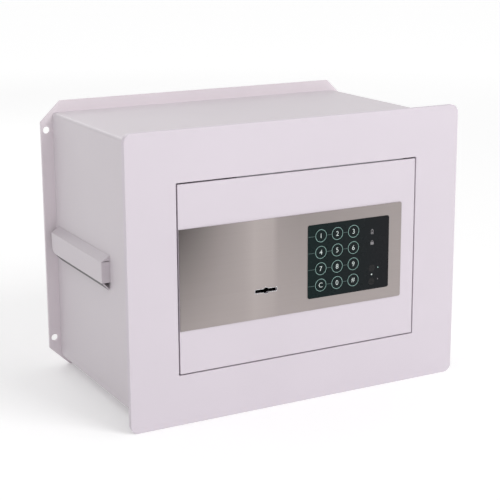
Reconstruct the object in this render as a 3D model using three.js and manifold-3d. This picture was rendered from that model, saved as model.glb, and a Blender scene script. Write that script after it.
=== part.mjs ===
// A recessed wall safe: painted steel body with a flush door, motor-driven bolts and a keypad.
// Millimetres, +Z up, the front faces -Y. The origin is under the middle of the safe, at its base.
// Inside this file x runs from the left edge of the front plate, y from its front face towards
// the back and z from its bottom edge; the group at the end moves that to the origin above.
import * as THREE from 'three';
import { mergeVertices } from 'three/addons/utils/BufferGeometryUtils.js';
import Module from 'manifold-3d';

const wasm = await Module();
wasm.setup();

// ---------------------------------------------------------------- driving dimensions
const PLATE = { width: 400, height: 310, thick: 6, corner: 9 };
const OPENING = { x0: 55, x1: 345, z0: 54, z1: 256 };       // door opening in the front plate
const DOOR_GAP = 1.5;
const LEAF_THICK = 4;
const SHELL = { x0: 14, x1: 386, z0: 11, z1: 299, wall: 3, fold: 4 };
const BACK = { height: 312, front: 237, thick: 3, chamferX: 24, chamferZ: 23 };
const FIXING_HOLE = { radius: 4, inset: 6.5, low: 35, high: 279.5 };
const ANCHOR = {
  front: 79, rear: 229, proud: 9.5, sheet: 1.5, z0: 140, z1: 163,
  foot: 169.5, lip: 131.4, lipGap: 1.4, round: 9, seam: 0.5,
};
const MAT = { margin: 3, front: 12, thick: 2 };

const FASCIA = { x0: 56.8, x1: 326.4, z0: 101.4, z1: 208.2, thick: 1, corner: 2.2 };
const KEYPAD = { x0: 207.1, x1: 309.9, z0: 114.2, z1: 195.1, thick: 0.6, corner: 2.4 };
const KEY = {
  firstX: 223.1, pitchX: 20.5, firstZ: 182.4, pitchZ: 18.15,
  radius: 7.2, stem: 2.5, stemRear: 3.2, gap: 0.15, sides: 20,
};
const KEY_NAMES = [['1', '2', '3'], ['4', '5', '6'], ['7', '8', '9'], ['c', '0', 'hash']];
const HOUSING = {
  inset: 4.2, gap: 0.3, front: -0.3, face: 1.8, wall: 1.5, rear: 10, lug: 1.5, lap: 1, well: 2.9,
};
const PAD_LAYERS = { sheet0: 4, sheet1: 5, board1: 6.6, play: 0.4 };
const KEYHOLE = { x: 156.4, z: 131.4, width: 25.8, height: 3.7, barrel: 3.3, behind: 1.2 };

const HINGE = { x: 88.5, y: 9, pin: 2, head: 2.8, headThick: 2, tongue: 4, knuckle: 18, upperGap: 2 };
const BRACKET_ARM = { x0: -12, x1: 30, rear: 9, flangeX0: 8, flangeThick: 3, flangeReach: 28 };
const KNUCKLE = { x0: -8, x1: 11.5, rear: 5, clear: 2 };
const WASHER = { radius: 4.4, thick: 1.7 };
const STOP = { x0: 125, x1: 330, hold: 8, lap: 6, clear: 0.5, thick: 2.5, play: 0.3 };
const KEEPER = { x0: 350, x1: 366, sheet: 3, flange: 2.5, rear: 32, z0: 88, z1: 222, clear: 0.6 };
const PUSH_SPRING = { z0: 226, width: 18, thick: 0.8, foot: 17, bend: 0.4, slope: 4, lip: 5, lipDrop: 0.6 };
const BOLT = { radius: 8, y: 17, zLow: 105, zHigh: 205, x0: 289, x1: 341, tip: 2 };
const GUIDE = { x0: 311.4, x1: 325, sheet: 3, foot: 2.5, rear: 30, z0: 88, z1: 222, clear: 0.3 };
const CARRIAGE = { x0: 262, x1: 292, z0: 92, z1: 218, ear: 3, earDepth: 8, earHalf: 9 };
const LOCK = {
  half: 19, rear: 20, lid: 2, bore: 14.8, drum: 14.5, drumGap: 0.5,
  neck: 6, neckGap: 0.4, journal: 4, slotRear: 17,
};
const RACK = {
  y0: 26, y1: 29, x0: 132, low: 140.4, high: 150, addendum: 0.8, dedendum: 1.1, teeth: 10, ahead: 3.5,
};
const GEAR = { module: 1, pressure: 20 * Math.PI / 180, backlash: 0.3 };
const ROTOR_TEETH = 18;
const PINION = { teeth: 14, x: 190, shaft: 1.5, lap: 0.5 };
const MOTOR = { half: 6, gearbox: 9, rear: 53.5, flat: 5 };
const COVER = { x0: 102, x1: 334, z0: 62, z1: 248, rear: 56, wall: 2, boss: 4.5, post: 3 };
const SCREW = {
  x0: 110, x1: 326, z0: 70, z1: 240, shank: 1.6, head: 3.6, top: 2.6, rise: 2, socket: 1.4, tip: 41,
};
const BOARD = { x0: 216, x1: 316, z0: 114, z1: 178, y: 44, thick: 1.6, postInset: 5 };
const SOCKET = { x: 10, z: 48, width: 22, height: 7, proud: 3 };         // from the board's low corner
const CHIP = { x: 44, z: 26, width: 14, height: 14, proud: 1.6 };
const RELAY = { x: 78, z: 12, width: 14, height: 14, proud: 9 };
const CAPACITOR = { x: 84, z: 48, radius: 4, proud: 8 };
const TRAY = { x0: 118, x1: 176, z0: 178, z1: 243, front: 35, wall: 1.5, lip: 2 };
const LID = { x0: 116, x1: 178, z0: 177, z1: 244, thick: 1.6, gap: 0.3, travel: 50 };
const LID_RIB = { count: 3, first: 12, pitch: 3, wide: 1.2, proud: 1, inset: 18 };
const RAIL = { wide: 2.4, root: 0.5, hook: 1.6, hookY: 2.1, top: 3.2 };
const RIBBON = {
  route: [[7, 172], [20, 172], [24, 160], [40.6, 165.5]], half: 0.4, width: 18, x: 12, steps: 12,
};
const BRACKET = {
  x0: 128, x1: 205, z0: 106, z1: 178, y: 31, sheet: 2, foot: 10, journalGap: 0.2, shaftGap: 0.3,
};
const CELL = {
  count: 4, radius: 7.25, length: 50.5, nub: 2.7, nubLength: 1.5, pitch: 15.3, x: 121.5, y: 44.75, z: 187.5,
};
const STEP = 12;                                             // sides of a small cylinder
const ROUND = 24;                                            // sides of a larger one
const LAP = 0.2;                                             // how far joined shapes run into each other
const OVER = 1;                                              // how far a cutting tool runs past a face
const SNUG = 0.05;                                           // clearance round a pin that stays put
const RUN = 0.1;                                             // clearance round a pin that turns

// ---------------------------------------------------------------- materials
const finish = (color, roughness, metalness = 0) =>
  new THREE.MeshStandardMaterial({ color, roughness, metalness, flatShading: true });
const WHITE = finish(0xe3dce3, 0.55);
const WHITE_SIDE = finish(0xd5ced4, 0.55);
const STEEL = finish(0xb0a9a8, 0.35, 1);
const BRIGHT = finish(0xc8c8cc, 0.3, 1);
const ZINC = finish(0xa9adb0, 0.4, 0.9);
const BLACK = finish(0x1f2a2c, 0.25);
const CHARCOAL = finish(0x2c2e30, 0.6);
const BRASS = finish(0xb99b55, 0.35, 1);
const CIRCUIT = finish(0x1f5a3a, 0.5);
const FELT = finish(0x55565a, 0.95);
const CELL_SKIN = finish(0x8a8f96, 0.4, 0.3);
const CABLE = finish(0x9aa0a6, 0.6);

// ---------------------------------------------------------------- shapes
const { sin, cos, PI } = Math;

function solid(geometry) {
  const bare = geometry.clone();
  bare.deleteAttribute('normal');
  bare.deleteAttribute('uv');
  const merged = mergeVertices(bare, 1e-4);
  const index = merged.index.array;
  const faces = [];
  for (let i = 0; i < index.length; i += 3) {
    const [a, b, c] = [index[i], index[i + 1], index[i + 2]];
    if (a !== b && b !== c && a !== c) faces.push(a, b, c);
  }
  const vertProperties = new Float32Array(merged.attributes.position.array);
  return new wasm.Manifold(new wasm.Mesh({ numProp: 3, vertProperties, triVerts: new Uint32Array(faces) }));
}

const join = (first, ...rest) => rest.reduce((whole, piece) => whole.add(piece), first);
const cut = (first, ...rest) => rest.reduce((whole, piece) => whole.subtract(piece), first);

function box(x0, x1, y0, y1, z0, z1) {
  const block = new THREE.BoxGeometry(x1 - x0, y1 - y0, z1 - z0);
  return solid(block.translate((x0 + x1) / 2, (y0 + y1) / 2, (z0 + z1) / 2));
}

// A round bar through (a, b) in the plane across its axis, from low to high along it.
function rod(axis, a, b, low, high, radius, sides = STEP, tipRadius = radius) {
  const bar = new THREE.CylinderGeometry(tipRadius, radius, high - low, sides);
  const middle = (low + high) / 2;
  if (axis === 'x') return solid(bar.rotateZ(-PI / 2).translate(middle, a, b));
  if (axis === 'y') return solid(bar.translate(a, middle, b));
  return solid(bar.rotateX(PI / 2).translate(a, b, middle));
}

// A flat outline in the plane of the front, from y0 back to y1.
function slab(shape, y0, y1, curveSegments = 6) {
  const flat = new THREE.ExtrudeGeometry(shape, { depth: y1 - y0, bevelEnabled: false, curveSegments });
  return solid(flat.rotateX(PI / 2).translate(0, y1, 0));
}

function outline(points) {
  return new THREE.Shape(points.map(([x, z]) => new THREE.Vector2(x, z)));
}

function roundedRect(x0, x1, z0, z1, r, rLeft = r) {
  const shape = new THREE.Shape();
  shape.moveTo(x0 + rLeft, z0);
  shape.lineTo(x1 - r, z0);
  shape.absarc(x1 - r, z0 + r, r, -PI / 2, 0);
  shape.lineTo(x1, z1 - r);
  shape.absarc(x1 - r, z1 - r, r, 0, PI / 2);
  shape.lineTo(x0 + rLeft, z1);
  if (rLeft > 0) shape.absarc(x0 + rLeft, z1 - rLeft, rLeft, PI / 2, PI);
  shape.lineTo(x0, z0 + rLeft);
  if (rLeft > 0) shape.absarc(x0 + rLeft, z0 + rLeft, rLeft, PI, 1.5 * PI);
  return shape;
}

// A double-bit key's slot, wider all round by margin, cut through everything between y0 and y1.
function keySlot(margin, y0, y1) {
  const { x, z, width, height, barrel } = KEYHOLE;
  const [halfX, halfZ] = [width / 2 + margin, height / 2 + margin];
  return box(x - halfX, x + halfX, y0, y1, z - halfZ, z + halfZ).add(rod('y', x, z, y0, y1, barrel + margin));
}

// ---------------------------------------------------------------- gears
const involute = (radius, base) => Math.sqrt((radius / base) ** 2 - 1) - Math.acos(base / radius);

// A spur gear in the front's plane, with one tooth pointing along startAngle.
function gear(x, z, teeth, y0, y1, startAngle) {
  const pitch = GEAR.module * teeth / 2;
  const base = pitch * cos(GEAR.pressure);
  const tip = pitch + RACK.addendum;
  const root = pitch - RACK.dedendum;
  const half = (PI * GEAR.module - GEAR.backlash) / 4 / pitch + involute(pitch, base);
  const points = [];
  const at = (radius, angle) => points.push([x + radius * cos(angle), z + radius * sin(angle)]);
  for (let tooth = 0; tooth < teeth; tooth++) {
    const middle = startAngle + tooth * 2 * PI / teeth;
    const radii = [0, 0.5, 1].map((t) => base + t * (tip - base));
    at(root, middle - half);
    radii.forEach((radius) => at(radius, middle - half + involute(radius, base)));
    radii.reverse().forEach((radius) => at(radius, middle + half - involute(radius, base)));
    at(root, middle + half);
  }
  return slab(outline(points), y0, y1);
}

// Teeth along one edge of the rack: a gap is centred on gapX, and side is +1 above or -1 below.
function rackTeeth(gapX, pitchLine, side) {
  const pitch = PI * GEAR.module;
  const slope = Math.tan(GEAR.pressure);
  const halfAt = (out) => (pitch - GEAR.backlash) / 4 - out * slope;
  const rootZ = pitchLine - side * (RACK.dedendum + LAP);
  const tipZ = pitchLine + side * RACK.addendum;
  const wide = halfAt(-RACK.dedendum - LAP);
  const narrow = halfAt(RACK.addendum);
  const teeth = [];
  for (let i = 0; i < RACK.teeth; i++) {
    const x = gapX + pitch * (i - RACK.teeth + RACK.ahead);
    const tooth = [[x - wide, rootZ], [x + wide, rootZ], [x + narrow, tipZ], [x - narrow, tipZ]];
    if (side < 0) tooth.reverse();
    teeth.push(slab(outline(tooth), RACK.y0, RACK.y1));
  }
  return teeth;
}

// ---------------------------------------------------------------- assembly helpers
const safe = new THREE.Group();
const DEPTH_FRONT = -(FASCIA.thick + KEYPAD.thick);
const DEPTH_REAR = BACK.front + BACK.thick;
safe.position.set(-PLATE.width / 2, -(DEPTH_FRONT + DEPTH_REAR) / 2, 0);

function add(name, body, material) {
  const { vertProperties, triVerts } = body.getMesh();
  const geometry = new THREE.BufferGeometry();
  geometry.setAttribute('position', new THREE.BufferAttribute(new Float32Array(vertProperties), 3));
  geometry.setIndex(new THREE.BufferAttribute(new Uint32Array(triVerts), 1));
  geometry.computeVertexNormals();
  const mesh = new THREE.Mesh(geometry, material);
  mesh.name = name;
  safe.add(mesh);
}

// ---------------------------------------------------------------- body
function buildBody() {
  const behindPlate = PLATE.thick;
  const face = slab(roundedRect(0, PLATE.width, 0, PLATE.height, PLATE.corner), 0, behindPlate);
  const doorway = box(OPENING.x0, OPENING.x1, -OVER, behindPlate + OVER, OPENING.z0, OPENING.z1);
  add('front_plate', cut(face, doorway), WHITE);

  const { x0, x1, z0, z1, wall, fold } = SHELL;
  const outer = slab(roundedRect(x0, x1, z0, z1, fold), behindPlate, BACK.front);
  const room = roundedRect(x0 + wall, x1 - wall, z0 + wall, z1 - wall, fold - wall);
  add('body_shell', cut(outer, slab(room, behindPlate - OVER, BACK.front + OVER, 3)), WHITE_SIDE);

  const w = PLATE.width;
  const { height, chamferX: cx, chamferZ: cz } = BACK;
  const sheet = outline([[cx, 0], [w - cx, 0], [w, cz], [w, height - cz], [w - cx, height],
    [cx, height], [0, height - cz], [0, cz]]);
  const holes = [FIXING_HOLE.inset, w - FIXING_HOLE.inset].flatMap((x) => [FIXING_HOLE.low, FIXING_HOLE.high]
    .map((z) => rod('y', x, z, BACK.front - OVER, DEPTH_REAR + OVER, FIXING_HOLE.radius, ROUND)));
  add('back_plate', cut(slab(sheet, BACK.front, DEPTH_REAR), ...holes), WHITE_SIDE);

  const matEdge = wall + MAT.margin;
  const matZ = z0 + wall;
  const matRear = BACK.front - MAT.margin;
  add('floor_mat', box(x0 + matEdge, x1 - matEdge, MAT.front, matRear, matZ, matZ + MAT.thick), FELT);
}

// A folded strip, welded to the side wall along its upper foot, that locks into the mortar around
// the safe. Its lower lip stops just short of the wall, and its front end is closed by a tab and
// an ear. wallX is the wall's outer face and out is the way the strip stands proud of it, -1 or +1.
function buildAnchor(name, wallX, out) {
  const { front, rear, proud, sheet, z0, z1, foot, lip, lipGap, round, seam } = ANCHOR;
  const face = wallX + out * proud;
  const inner = face - out * sheet;
  const lipX = wallX + out * lipGap;
  const profile = [[lipX, lip], [face, z0], [face, z1], [wallX, foot], [wallX, foot - 1.7 * sheet],
    [inner, z1 - sheet / 2], [inner, z0 + sheet / 2], [lipX, lip + 1.3 * sheet]];
  const ear = [[wallX, z1 + seam], [face - out * proud * seam / (foot - z1), z1 + seam], [wallX, foot]];
  if (out < 0) {
    profile.reverse();
    ear.reverse();
  }
  const strip = slab(outline(profile), front + sheet / 3, rear);
  const end = slab(outline(ear), front, front + sheet);
  const [low, high] = [Math.min(face, wallX), Math.max(face, wallX)];
  const tab = box(low, high, front, front + sheet, z0, z1);
  const corner = cut(box(low - OVER, high + OVER, rear - round, rear + OVER, lip - OVER, z0 + round),
    rod('x', rear - round, z0 + round, low - 2 * OVER, high + 2 * OVER, round, ROUND));
  add(name, cut(join(strip, tab, end), corner), WHITE_SIDE);
}

// ---------------------------------------------------------------- hinges
// side is +1 for the upper hinge and -1 for the lower one, which has its washer in the gap instead.
function buildHinge(name, edgeZ, side) {
  const { x, y, pin, head, headThick, tongue, knuckle, upperGap } = HINGE;
  const { x0, x1, rear, flangeX0, flangeThick, flangeReach } = BRACKET_ARM;
  const behindPlate = PLATE.thick;
  const span = (a, b) => [edgeZ + side * a, edgeZ + side * b].sort((p, q) => p - q);
  const start = side > 0 ? upperGap : 0;
  const end = start + tongue;
  const arm = box(x + x0, x + x1, behindPlate, y + rear, ...span(start, end));
  const flangeY = behindPlate + flangeThick;
  const flange = box(x + flangeX0, x + x1, behindPlate, flangeY, ...span(start, start + flangeReach));
  const hole = rod('z', x, y, ...span(start - OVER, end + OVER), pin + SNUG);
  add(`hinge_bracket_${name}`, cut(arm.add(flange), hole), ZINC);

  const shank = rod('z', x, y, ...span(-knuckle - OVER, end + LAP), pin);
  const pinHead = rod('z', x, y, ...span(end, end + headThick), head);
  add(`hinge_pin_${name}`, shank.add(pinHead), BRIGHT);

  const { clear } = KNUCKLE;
  const foot = -knuckle - clear;
  const block = box(x + KNUCKLE.x0, x + KNUCKLE.x1, LEAF_THICK, y + KNUCKLE.rear, ...span(foot, -clear));
  const bore = rod('z', x, y, ...span(foot - OVER, OVER - clear), pin + RUN);
  add(`hinge_knuckle_${name}`, cut(block, bore), ZINC);
}

function buildHingeWasher() {
  const { x, y, pin } = HINGE;
  const ring = rod('z', x, y, OPENING.z0, OPENING.z0 + WASHER.thick, WASHER.radius);
  const bore = rod('z', x, y, OPENING.z0 - OVER, OPENING.z0 + WASHER.thick + OVER, pin + SNUG);
  add('hinge_washer', cut(ring, bore), BRASS);
}

// ---------------------------------------------------------------- frame fittings
// A bar behind the front plate whose nose reaches past the opening's edge for the door to rest on.
function buildStop(name, edge, side) {
  const { x0, x1, hold, lap, clear, thick, play } = STOP;
  const rear = PLATE.thick + thick;
  const span = (a, b) => [edge + side * a, edge + side * b].sort((p, q) => p - q);
  const back = box(x0, x1, PLATE.thick, rear, ...span(-lap, hold));
  const nose = box(x0, x1, LEAF_THICK + play, rear, ...span(-lap, -clear));
  add(name, back.add(nose), ZINC);
}

function boltHoles(x0, x1, clear) {
  return [BOLT.zLow, BOLT.zHigh].map((z) => rod('x', BOLT.y, z, x0, x1, BOLT.radius + clear, ROUND));
}

function buildKeeper() {
  const { x0, x1, sheet, flange, rear, z0, z1, clear } = KEEPER;
  const web = box(x0, x0 + sheet, PLATE.thick, rear, z0, z1);
  const foot = box(x0, x1, PLATE.thick, PLATE.thick + flange, z0, z1);
  add('bolt_keeper', cut(web.add(foot), ...boltHoles(x0 - OVER, x0 + sheet + LAP, clear)), ZINC);
}

// A leaf spring, pressed flat by the shut door, that nudges it open when the bolts draw back.
function buildPushSpring() {
  const { z0, width, thick, foot, bend, slope, lip, lipDrop } = PUSH_SPRING;
  const edge = OPENING.x1;
  const touch = LEAF_THICK + STOP.play;
  const front = [[edge + foot, PLATE.thick], [edge - bend, PLATE.thick], [edge - slope, touch],
    [edge - lip, touch + lipDrop]];
  const back = front.map(([x, y]) => [x, y + thick]).reverse();
  const shape = outline([...front, ...back]);
  const strip = new THREE.ExtrudeGeometry(shape, { depth: width, bevelEnabled: false });
  add('door_push_spring', solid(strip.translate(0, 0, z0)), BRIGHT);
}

// ---------------------------------------------------------------- door
function buildDoor() {
  const [x0, x1] = [OPENING.x0 + DOOR_GAP, OPENING.x1 - DOOR_GAP];
  const [z0, z1] = [OPENING.z0 + DOOR_GAP, OPENING.z1 - DOOR_GAP];
  const inset = HOUSING.inset - HOUSING.gap;
  const front = -FASCIA.thick - OVER;
  const rear = LEAF_THICK + OVER;
  const window = box(KEYPAD.x0 + inset, KEYPAD.x1 - inset, front, rear, KEYPAD.z0 + inset, KEYPAD.z1 - inset);
  const leafSlot = keySlot(KEYHOLE.behind, -OVER, rear);
  add('door_leaf', cut(box(x0, x1, 0, LEAF_THICK, z0, z1), window, leafSlot), WHITE);
  const skin = roundedRect(FASCIA.x0, FASCIA.x1, FASCIA.z0, FASCIA.z1, FASCIA.corner, 0);
  add('steel_fascia', cut(slab(skin, -FASCIA.thick, 0), window, keySlot(0, front, OVER)), STEEL);
}

function eachKey(visit) {
  KEY_NAMES.forEach((row, r) => row.forEach((label, c) => {
    visit(label, KEY.firstX + c * KEY.pitchX, KEY.firstZ - r * KEY.pitchZ);
  }));
}

function buildKeypad() {
  const { x0, x1, z0, z1, thick, corner } = KEYPAD;
  const { inset, face, wall, rear, lug, lap } = HOUSING;
  const front = -FASCIA.thick - thick;
  const holes = [];
  const wells = [];
  eachKey((label, x, z) => {
    holes.push(rod('y', x, z, front - OVER, 0, KEY.radius + KEY.gap, KEY.sides));
    wells.push(rod('y', x, z, HOUSING.front - OVER, face + OVER, HOUSING.well));
    const cap = rod('y', x, z, front, -FASCIA.thick, KEY.radius, KEY.sides);
    add(`key_${label}`, cap.add(rod('y', x, z, -FASCIA.thick - LAP, KEY.stemRear, KEY.stem)), BLACK);
  });
  const film = slab(roundedRect(x0, x1, z0, z1, corner), front, -FASCIA.thick);
  add('keypad_overlay', cut(film, ...holes), BLACK);

  const [hx0, hx1, hz0, hz1] = [x0 + inset, x1 - inset, z0 + inset, z1 - inset];
  const tub = box(hx0, hx1, HOUSING.front, rear, hz0, hz1);
  const room = box(hx0 + wall, hx1 - wall, face, rear + OVER, hz0 + wall, hz1 - wall);
  const rim = box(x0 - lap, x1 + lap, LEAF_THICK, LEAF_THICK + lug, z0 - lap, z1 + lap);
  add('keypad_housing', cut(tub.add(rim), room, ...wells), CHARCOAL);
  const { sheet0, sheet1, board1, play } = PAD_LAYERS;
  const inside = wall + play;
  const layer = (y0, y1) => box(hx0 + inside, hx1 - inside, y0, y1, hz0 + inside, hz1 - inside);
  add('dome_sheet', layer(sheet0, sheet1), CHARCOAL);
  add('keypad_board', layer(sheet1, board1), CIRCUIT);
}

// ---------------------------------------------------------------- lock and bolt work
function buildLock() {
  const { x, z } = KEYHOLE;
  const { half, rear, lid, bore, drum, drumGap, neck, neckGap, journal, slotRear } = LOCK;
  const caseBlock = box(x - half, x + half, LEAF_THICK, rear, z - half, z + half);
  add('lock_case', cut(caseBlock, rod('y', x, z, LEAF_THICK - OVER, rear + OVER, bore, ROUND)), ZINC);
  const cover = box(x - half, x + half, rear, rear + lid, z - half, z + half);
  add('lock_case_cover', cut(cover, rod('y', x, z, rear - OVER, rear + lid + OVER, neck + neckGap)), ZINC);

  const drumRear = rear - drumGap;
  const body = rod('y', x, z, LEAF_THICK + drumGap, drumRear, drum, ROUND);
  const link = rod('y', x, z, drumRear - LAP, RACK.y0 + LAP, neck);
  const tail = rod('y', x, z, RACK.y1 - LAP, BRACKET.y + BRACKET.sheet + drumGap, journal);
  const wheel = gear(x, z, ROTOR_TEETH, RACK.y0, RACK.y1, PI / 2);
  add('key_rotor', cut(join(body, link, wheel, tail), keySlot(LAP, 0, slotRear)), BRASS);
}

// A bolt turned from round bar, with a chamfered tip.
function boltBar(z) {
  const { radius, x0, x1, tip } = BOLT;
  const profile = [[0, x0], [radius, x0], [radius, x1 - tip], [radius - tip, x1], [0, x1]];
  const turned = new THREE.LatheGeometry(profile.map(([r, x]) => new THREE.Vector2(r, x)), ROUND);
  return solid(turned.rotateZ(-PI / 2).translate(0, BOLT.y, z));
}

function buildBoltWork() {
  const { x0, x1, z0, z1, ear, earDepth, earHalf } = CARRIAGE;
  const sheet = box(x0, x1, RACK.y0, RACK.y1, z0, z1);
  const ears = [BOLT.zLow, BOLT.zHigh].map((z) => box(BOLT.x0 - ear, BOLT.x0, BOLT.y - earDepth,
    RACK.y0 + OVER, z - earHalf, z + earHalf));
  const bar = box(RACK.x0, x0 + OVER, RACK.y0, RACK.y1, RACK.low + RACK.dedendum, RACK.high - RACK.dedendum);
  const lower = rackTeeth(KEYHOLE.x, RACK.low, -1);
  const upper = rackTeeth(PINION.x, RACK.high, 1);
  add('bolt_carriage', join(sheet, ...ears, bar, ...lower, ...upper), ZINC);

  add('bolt_lower', boltBar(BOLT.zLow), BRIGHT);
  add('bolt_upper', boltBar(BOLT.zHigh), BRIGHT);

  const webX = GUIDE.x1 - GUIDE.sheet;
  const web = box(webX, GUIDE.x1, LEAF_THICK, GUIDE.rear, GUIDE.z0, GUIDE.z1);
  const foot = box(GUIDE.x0, GUIDE.x1, LEAF_THICK, LEAF_THICK + GUIDE.foot, GUIDE.z0, GUIDE.z1);
  add('bolt_guide', cut(web.add(foot), ...boltHoles(webX - OVER, GUIDE.x1 + OVER, GUIDE.clear)), ZINC);
}

function buildDrive() {
  const { x0, x1, z0, z1, y, sheet, foot, journalGap, shaftGap } = BRACKET;
  const pinionZ = RACK.high + GEAR.module * PINION.teeth / 2;
  const rear = y + sheet;
  const top = box(x0, x1, y, rear, z0, z1);
  const legs = [box(x0, x1, LEAF_THICK, y, z0, z0 + sheet), box(x0, x1, LEAF_THICK, y, z1 - sheet, z1)];
  const feet = [box(x0, x1, LEAF_THICK, LEAF_THICK + sheet, z0 - foot + sheet, z0 + OVER),
    box(x0, x1, LEAF_THICK, LEAF_THICK + sheet, z1 - OVER, z1 + foot - sheet)];
  const journal = rod('y', KEYHOLE.x, KEYHOLE.z, y - OVER, rear + OVER, LOCK.journal + journalGap);
  const shaftHole = rod('y', PINION.x, pinionZ, y - OVER, rear + OVER, PINION.shaft + shaftGap);
  add('mechanism_bracket', cut(join(top, ...legs, ...feet), journal, shaftHole), ZINC);

  const wheel = gear(PINION.x, pinionZ, PINION.teeth, RACK.y0 - PINION.lap, RACK.y1 + PINION.lap, -PI / 2);
  const shaft = rod('y', PINION.x, pinionZ, RACK.y1 + LAP, rear - RUN, PINION.shaft);
  add('motor_pinion', wheel.add(shaft), BRASS);

  const { half, gearbox, flat } = MOTOR;
  const boxRear = rear + gearbox;
  const block = box(PINION.x - half, PINION.x + half, rear, boxRear, pinionZ - flat, pinionZ + flat);
  const can = rod('y', PINION.x, pinionZ, boxRear - LAP, MOTOR.rear, half, ROUND);
  const flats = box(PINION.x - half - OVER, PINION.x + half + OVER, rear, MOTOR.rear + OVER,
    pinionZ - flat, pinionZ + flat);
  add('gear_motor', block.add(can.intersect(flats)), BRIGHT);
}

// ---------------------------------------------------------------- inner cover, batteries, electronics
const fourCorners = (x0, x1, z0, z1) => [[x0, z0], [x1, z0], [x0, z1], [x1, z1]];

// One of the two hooked rails that the battery lid slides between; side is +1 above the lid.
function lidRail(edge, side) {
  const { wide, root, hook, hookY, top } = RAIL;
  const { rear } = COVER;
  const railX1 = LID.x1 + LID.travel;
  const span = (a, b) => [edge + side * a, edge + side * b].sort((p, q) => p - q);
  const wall = box(LID.x0, railX1, rear - root, rear + top, ...span(0, wide));
  return wall.add(box(LID.x0, railX1, rear + hookY, rear + top, ...span(-hook, OVER)));
}

function buildCover() {
  const { x0, x1, z0, z1, rear, wall, boss, post } = COVER;
  const { shank, head, top, rise, socket, tip } = SCREW;
  const inner = rear - wall;
  const screws = fourCorners(SCREW.x0, SCREW.x1, SCREW.z0, SCREW.z1);
  const block = box(x0, x1, LEAF_THICK, rear, z0, z1);
  const room = box(x0 + wall, x1 - wall, LEAF_THICK - OVER, inner, z0 + wall, z1 - wall);
  const bosses = screws.map(([x, z]) => rod('y', x, z, LEAF_THICK, inner + OVER, boss));
  const { postInset: p } = BOARD;
  const posts = fourCorners(BOARD.x0 + p, BOARD.x1 - p, BOARD.z0 + p, BOARD.z1 - p)
    .map(([x, z]) => rod('y', x, z, BOARD.y + BOARD.thick, inner + OVER, post));
  const bores = screws.map(([x, z]) => rod('y', x, z, tip - OVER, rear + OVER, shank + RUN));
  const hatch = box(TRAY.x0 + TRAY.lip, TRAY.x1 - TRAY.lip, inner - OVER, rear + OVER,
    TRAY.z0 + TRAY.lip, TRAY.z1 - TRAY.lip);
  const rails = [lidRail(LID.z0 - LID.gap, -1), lidRail(LID.z1 + LID.gap, 1)];
  const whole = join(cut(block, room), ...bosses, ...posts, ...rails);
  const ways = boltHoles(x1 - wall - OVER, x1 + OVER, KEEPER.clear);
  add('inner_cover', cut(whole, ...bores, hatch, ...ways), CHARCOAL);

  screws.forEach(([x, z], i) => {
    const cap = rod('y', x, z, rear, rear + rise, head, ROUND, top);
    const drive = rod('y', x, z, rear + rise / 2, rear + rise + OVER, socket, 6);
    const pin = rod('y', x, z, tip, rear + LAP, shank);
    add(`cover_screw_${i + 1}`, cut(pin.add(cap), drive), BRIGHT);
  });
}

function buildBatteryLid() {
  const { x0, x1, z0, z1, thick, gap } = LID;
  const { count, first, pitch, wide, proud, inset } = LID_RIB;
  const front = COVER.rear + gap;
  const plate = box(x0, x1, front, front + thick, z0, z1);
  const ribs = Array.from({ length: count }, (_, i) => {
    const x = x1 - first + i * pitch;
    return box(x, x + wide, front + LAP, front + thick + proud, z0 + inset, z1 - inset);
  });
  add('battery_lid', join(plate, ...ribs), CHARCOAL);
}

function buildBatteries() {
  const { x0, x1, z0, z1, front, wall } = TRAY;
  const block = box(x0, x1, front, COVER.rear - COVER.wall, z0, z1);
  const pocket = box(x0 + wall, x1 - wall, front + wall, COVER.rear, z0 + wall, z1 - wall);
  add('battery_holder', cut(block, pocket), CHARCOAL);
  const { radius, length, nub, nubLength, pitch, x, y, z } = CELL;
  for (let i = 0; i < CELL.count; i++) {
    const level = z + i * pitch;
    const canEnd = x + length - nubLength;
    const can = rod('x', y, level, x, canEnd, radius, ROUND);
    add(`battery_${i + 1}`, can.add(rod('x', y, level, canEnd - LAP, x + length, nub)), CELL_SKIN);
  }
}

function buildElectronics() {
  const { x0, x1, z0, z1, y, thick } = BOARD;
  const board = box(x0, x1, y, y + thick, z0, z1);
  const mounted = ({ x, z, width, height, proud }) =>
    box(x0 + x, x0 + x + width, y - proud, y + LAP, z0 + z, z0 + z + height);
  const { x, z, radius, proud } = CAPACITOR;
  const capacitor = rod('y', x0 + x, z0 + z, y - proud, y + LAP, radius);
  const parts = [SOCKET, CHIP, RELAY].map(mounted);
  add('control_board', join(board, ...parts, capacitor), CIRCUIT);
}

// The flat cable, seen along its width: from the keypad board back to the control board's socket.
function buildRibbon() {
  const { half, width, steps } = RIBBON;
  const points = RIBBON.route.map(([y, z]) => new THREE.Vector2(y, z));
  const curve = new THREE.CubicBezierCurve(...points);
  const side = (sign) => curve.getPoints(steps).map((point, i) => {
    const tangent = curve.getTangent(i / steps);
    return [point.x - sign * half * tangent.y, point.y + sign * half * tangent.x];
  });
  const ring = [...side(1), ...side(-1).reverse()].reverse();
  const strip = new THREE.ExtrudeGeometry(outline(ring), { depth: width, bevelEnabled: false });
  const turned = new THREE.Matrix4().makeBasis(new THREE.Vector3(0, 1, 0), new THREE.Vector3(0, 0, 1),
    new THREE.Vector3(1, 0, 0));
  add('ribbon_cable', solid(strip.applyMatrix4(turned).translate(BOARD.x0 + RIBBON.x, 0, 0)), CABLE);
}

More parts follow.
